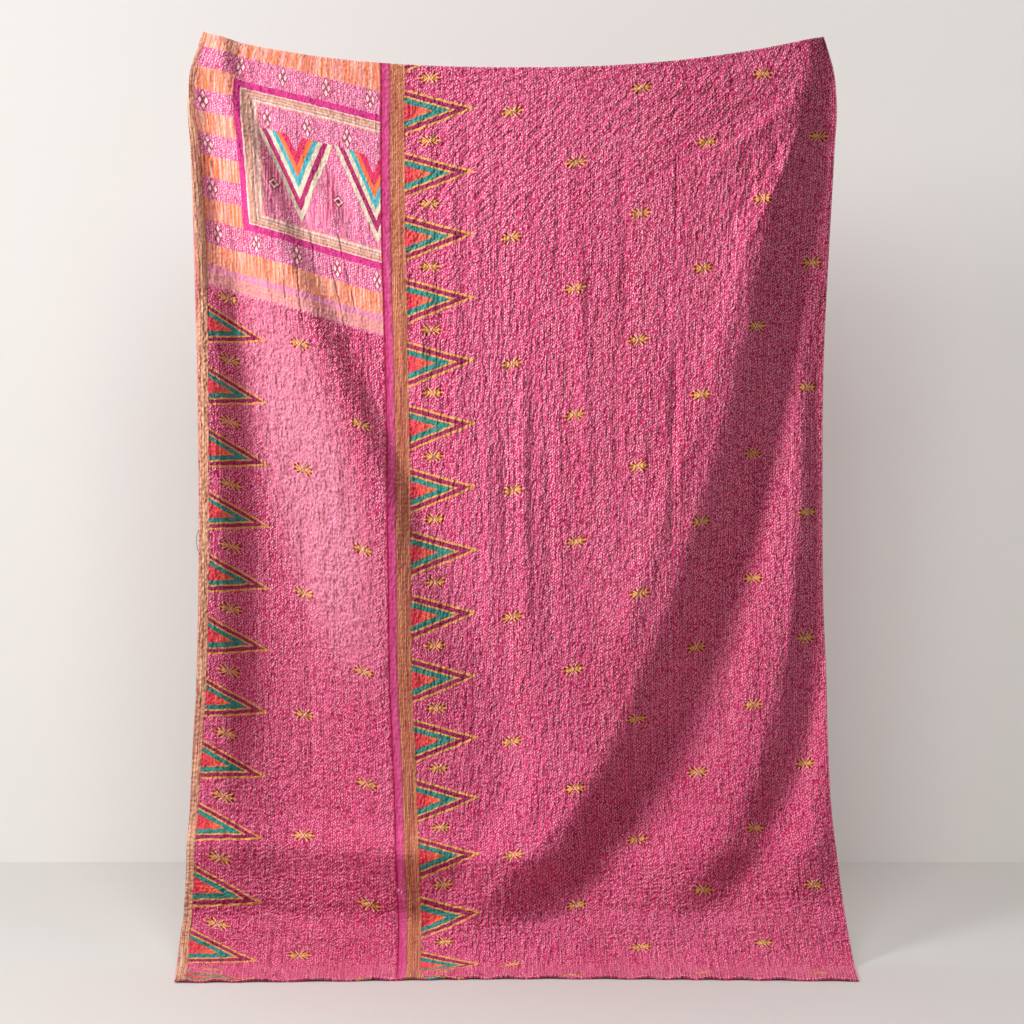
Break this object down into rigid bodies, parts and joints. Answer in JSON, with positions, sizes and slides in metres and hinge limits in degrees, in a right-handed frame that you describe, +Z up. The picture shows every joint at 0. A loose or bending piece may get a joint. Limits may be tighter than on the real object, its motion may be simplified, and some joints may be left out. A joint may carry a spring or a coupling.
{
  "type": "kantha quilt",
  "caption": "Hand-stitched kantha quilt of two lapped cotton panels, hung by its top corners with its foot swept forward onto the floor.",
  "frame": {"origin": "middle of the top edge, half way through the cloth's thickness", "axes": "+Z up, the quilt's front faces -Y, +X to the right seen from the front; the foot runs forward along -Y on the floor"},
  "size_m": [1.4885, 0.3897, 2.0931],
  "materials": {
    "left_cloth": "matt old cotton, quilted",
    "right_cloth": "matt old cotton, quilted"
  },
  "bodies": {
    "root": {"left_panel": "left_cloth", "right_panel": "right_cloth"}
  },
  "joints": []
}
